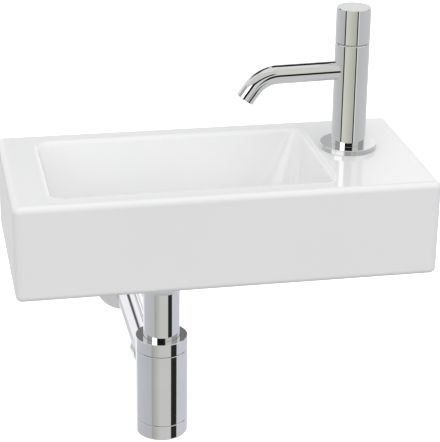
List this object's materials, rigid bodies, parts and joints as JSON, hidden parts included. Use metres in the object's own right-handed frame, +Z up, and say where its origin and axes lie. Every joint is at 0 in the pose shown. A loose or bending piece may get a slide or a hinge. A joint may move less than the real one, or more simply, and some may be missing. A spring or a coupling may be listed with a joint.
{
  "type": "wall hung basin",
  "caption": "Small rectangular wall hung hand basin with a cylindrical pillar tap beside the bowl, a strainer waste and a chromed bottle trap to the wall.",
  "frame": {"origin": "on the wall plane, midway between the two wall studs", "axes": "+X to the right seen from the front, +Y into the wall, +Z up"},
  "size_m": [0.385, 0.325, 0.4176],
  "materials": {
    "white_glaze": "gloss",
    "bright_chrome": "polished",
    "zinc_steel": "satin",
    "plain_brass": "machined",
    "black_rubber": "matt",
    "grey_rubber": "matt",
    "white_plastic": "matt",
    "technical_ceramic": "ground"
  },
  "bodies": {
    "basin": {"basin_body": "white_glaze", "wall_studs": "zinc_steel", "stud_nuts": "zinc_steel", "stud_sleeves": "white_plastic", "waste_strainer": "bright_chrome", "waste_screw": "bright_chrome", "waste_top_seal": "grey_rubber", "waste_bottom_seal": "grey_rubber", "waste_tail": "bright_chrome", "coupling_nut": "bright_chrome", "coupling_seal": "black_rubber", "inlet_tube": "bright_chrome", "trap_ring_nut": "bright_chrome", "trap_ring_seal": "black_rubber", "trap_body": "bright_chrome", "trap_cap": "bright_chrome", "trap_cap_seal": "black_rubber", "outlet_nut": "bright_chrome", "outlet_seal": "black_rubber", "outlet_tube": "bright_chrome", "tap_base_flange": "bright_chrome", "tap_base_gasket": "black_rubber", "tap_body": "bright_chrome", "tap_spout": "bright_chrome", "aerator_seal": "black_rubber", "aerator_cage": "bright_chrome", "aerator_insert": "white_plastic", "headwork_seal": "black_rubber", "headwork_housing": "plain_brass", "headwork_o_ring": "black_rubber", "fixed_ceramic_disc": "technical_ceramic", "knob_glide_ring": "white_plastic", "tap_shank": "plain_brass", "deck_seal_washer": "black_rubber", "deck_steel_washer": "zinc_steel", "tap_back_nut": "plain_brass"},
    "knob": {"tap_knob": "bright_chrome", "knob_grub_screw": "zinc_steel", "spindle": "plain_brass", "spindle_circlip": "zinc_steel", "spindle_o_ring": "black_rubber", "moving_ceramic_disc": "technical_ceramic"},
    "rosette": {"wall_rosette": "bright_chrome", "rosette_ring": "black_rubber"}
  },
  "joints": [
    {"name": "knob_turn", "type": "hinge", "parent": "basin", "child": "knob", "pos_m": [0.1325, -0.08, 0.17], "axis": [0, 0, 1], "range_deg": [0, 90]},
    {"name": "rosette_slide", "type": "slide", "parent": "basin", "child": "rosette", "axis": [0, 1, 0], "range_m": [-0.105, 0]}
  ]
}
